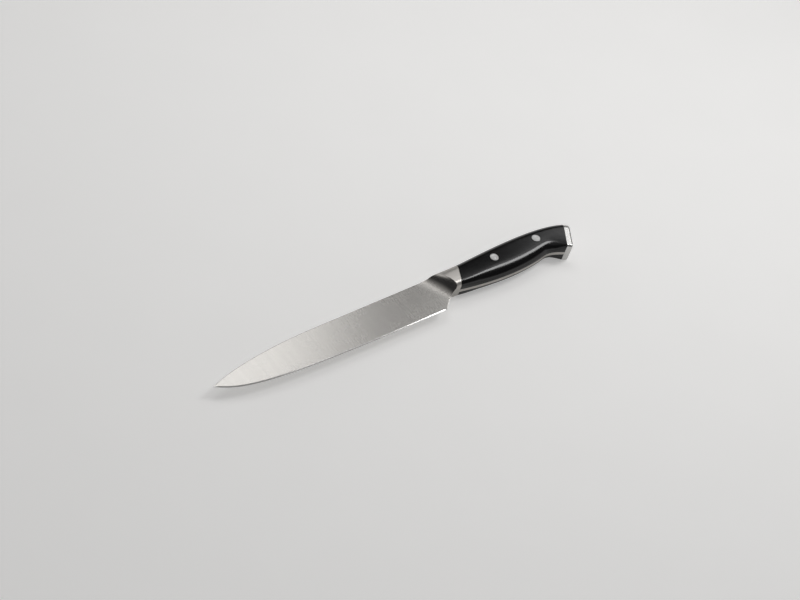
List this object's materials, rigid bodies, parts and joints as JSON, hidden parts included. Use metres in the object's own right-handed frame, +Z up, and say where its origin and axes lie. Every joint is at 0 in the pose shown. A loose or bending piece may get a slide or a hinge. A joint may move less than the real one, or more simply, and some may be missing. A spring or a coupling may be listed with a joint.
{
  "type": "carving knife",
  "caption": "Forged carving knife with a slim pointed blade, hollowed bolster, riveted black scales on a full tang, and a slanted steel end cap.",
  "frame": {"origin": "under the middle of the bounding box, on the plane that the knife lies on", "axes": "+X from the tip to the butt, +Y from the cutting edge to the spine, +Z up through the blade's left face, the knife lying on its right side"},
  "size_m": [0.3378, 0.0316, 0.017],
  "materials": {
    "blade_steel": "satin ground along the blade's height, bolster polished",
    "scale_black": "smooth semi-gloss moulded black",
    "rivet_steel": "ground flush with the scales, fine turning marks",
    "cap_steel": "polished steel"
  },
  "bodies": {
    "root": {"blade": "blade_steel", "left_scale": "scale_black", "right_scale": "scale_black", "front_rivet_male": "rivet_steel", "front_rivet_female": "rivet_steel", "rear_rivet_male": "rivet_steel", "rear_rivet_female": "rivet_steel", "end_cap": "cap_steel"}
  },
  "joints": []
}
